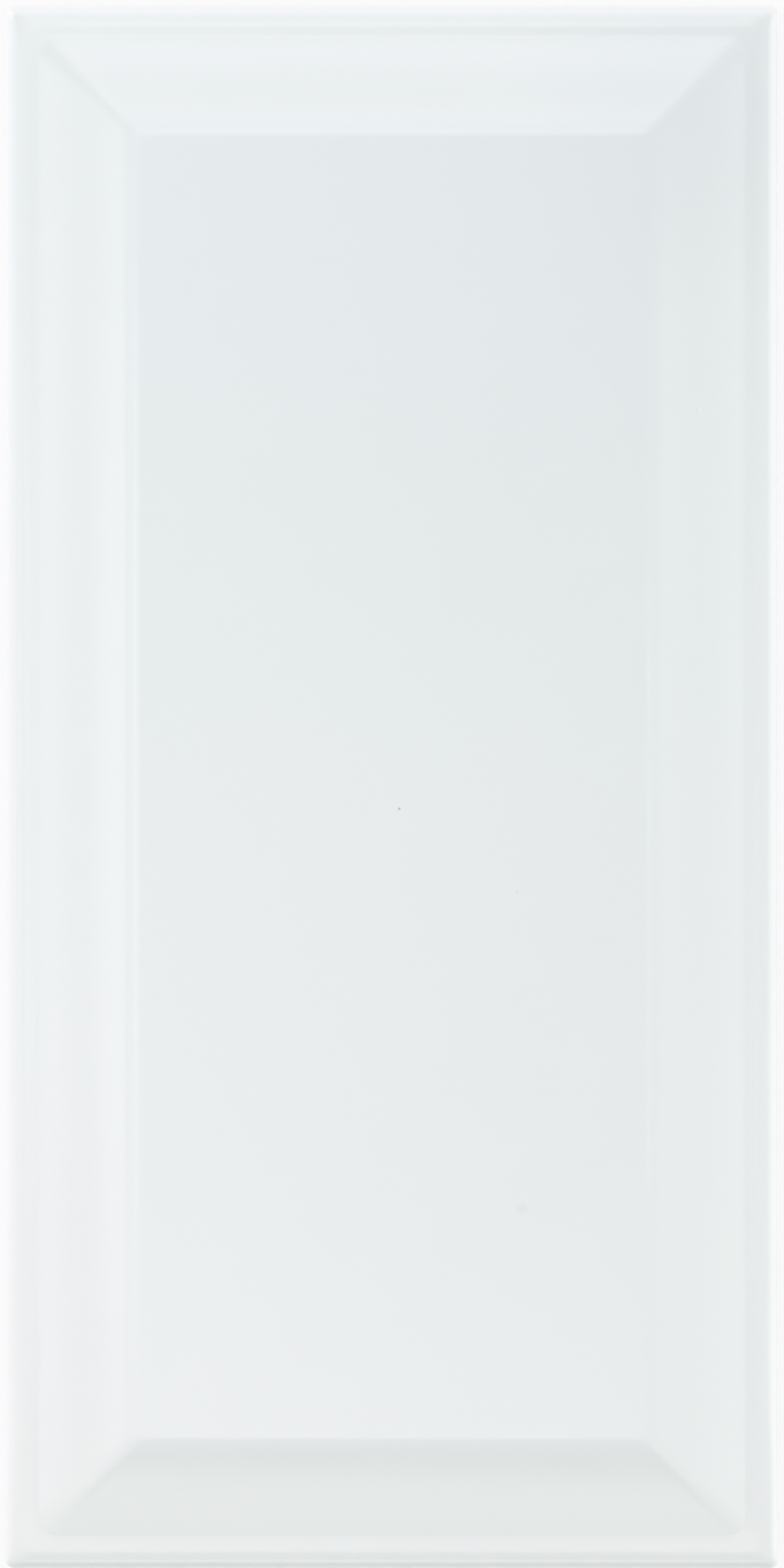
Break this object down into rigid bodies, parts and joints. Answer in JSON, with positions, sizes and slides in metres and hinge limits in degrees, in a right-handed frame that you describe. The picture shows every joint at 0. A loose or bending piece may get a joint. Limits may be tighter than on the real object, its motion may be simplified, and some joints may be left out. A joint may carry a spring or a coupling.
{
  "type": "subway wall tile",
  "caption": "Rectangular glazed ceramic wall tile with a raised flat panel, mitred bevels, a rolled rim and a keyed back, for setting in rows on a wall.",
  "frame": {"origin": "middle of the flat back, where the two middle ribs cross", "axes": "+Z out of the glazed face, +Y along the tile's length, +X across its width"},
  "size_m": [0.0746, 0.1508, 0.0079],
  "materials": {
    "glaze": "glossy cool-white glaze over a fired white body, bare and matt on the keyed back"
  },
  "bodies": {
    "root": {"bevelled_tile": "glaze"}
  },
  "joints": []
}
